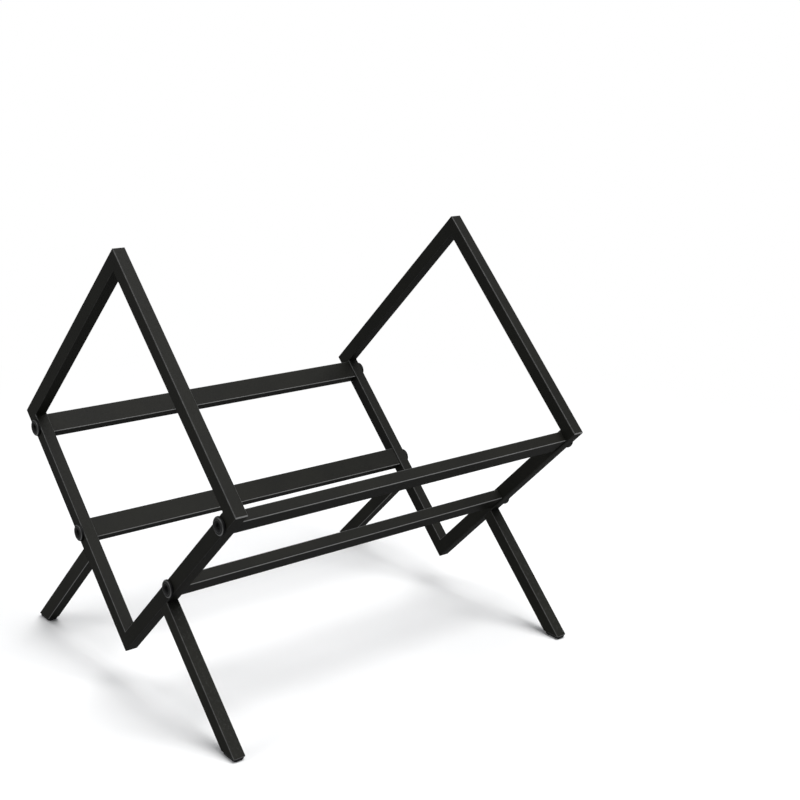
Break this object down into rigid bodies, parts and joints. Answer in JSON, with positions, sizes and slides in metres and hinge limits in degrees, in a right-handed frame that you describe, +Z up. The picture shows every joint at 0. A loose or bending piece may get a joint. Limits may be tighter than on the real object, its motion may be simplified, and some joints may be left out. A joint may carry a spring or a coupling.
{
  "type": "record storage stand",
  "caption": "Black tube record storage stand: two diamond end frames on splayed legs, joined by flat bolted rails that cradle sleeves in a V.",
  "frame": {"origin": "centre of the footprint on the floor, midway between the two end frames", "axes": "+X across the V from left to right, +Y along the rails from the front end frame to the rear one, +Z up"},
  "size_m": [0.3378, 0.3652, 0.3666],
  "materials": {
    "frame_paint": "satin black powder coat",
    "plug_steel": "plain steel",
    "bolt_black": "black coated, satin",
    "glide_plastic": "matte black"
  },
  "bodies": {
    "root": {"front_arm_lower_right": "frame_paint", "front_arm_upper_right": "frame_paint", "front_arm_lower_left": "frame_paint", "front_arm_upper_left": "frame_paint", "rear_arm_lower_right": "frame_paint", "rear_arm_upper_right": "frame_paint", "rear_arm_lower_left": "frame_paint", "rear_arm_upper_left": "frame_paint", "front_leg_right": "frame_paint", "front_leg_left": "frame_paint", "rear_leg_right": "frame_paint", "rear_leg_left": "frame_paint", "front_leg_weld_right": "frame_paint", "front_leg_weld_left": "frame_paint", "rear_leg_weld_right": "frame_paint", "rear_leg_weld_left": "frame_paint", "rail_lower_right": "frame_paint", "rail_upper_right": "frame_paint", "rail_lower_left": "frame_paint", "rail_upper_left": "frame_paint", "front_plug_lower_right": "plug_steel", "front_plug_upper_right": "plug_steel", "front_plug_lower_left": "plug_steel", "front_plug_upper_left": "plug_steel", "rear_plug_lower_right": "plug_steel", "rear_plug_upper_right": "plug_steel", "rear_plug_lower_left": "plug_steel", "rear_plug_upper_left": "plug_steel", "front_bolt_lower_right": "bolt_black", "front_bolt_upper_right": "bolt_black", "front_bolt_lower_left": "bolt_black", "front_bolt_upper_left": "bolt_black", "rear_bolt_lower_right": "bolt_black", "rear_bolt_upper_right": "bolt_black", "rear_bolt_lower_left": "bolt_black", "rear_bolt_upper_left": "bolt_black", "front_glide_right": "glide_plastic", "front_glide_left": "glide_plastic", "rear_glide_right": "glide_plastic", "rear_glide_left": "glide_plastic"}
  },
  "joints": []
}
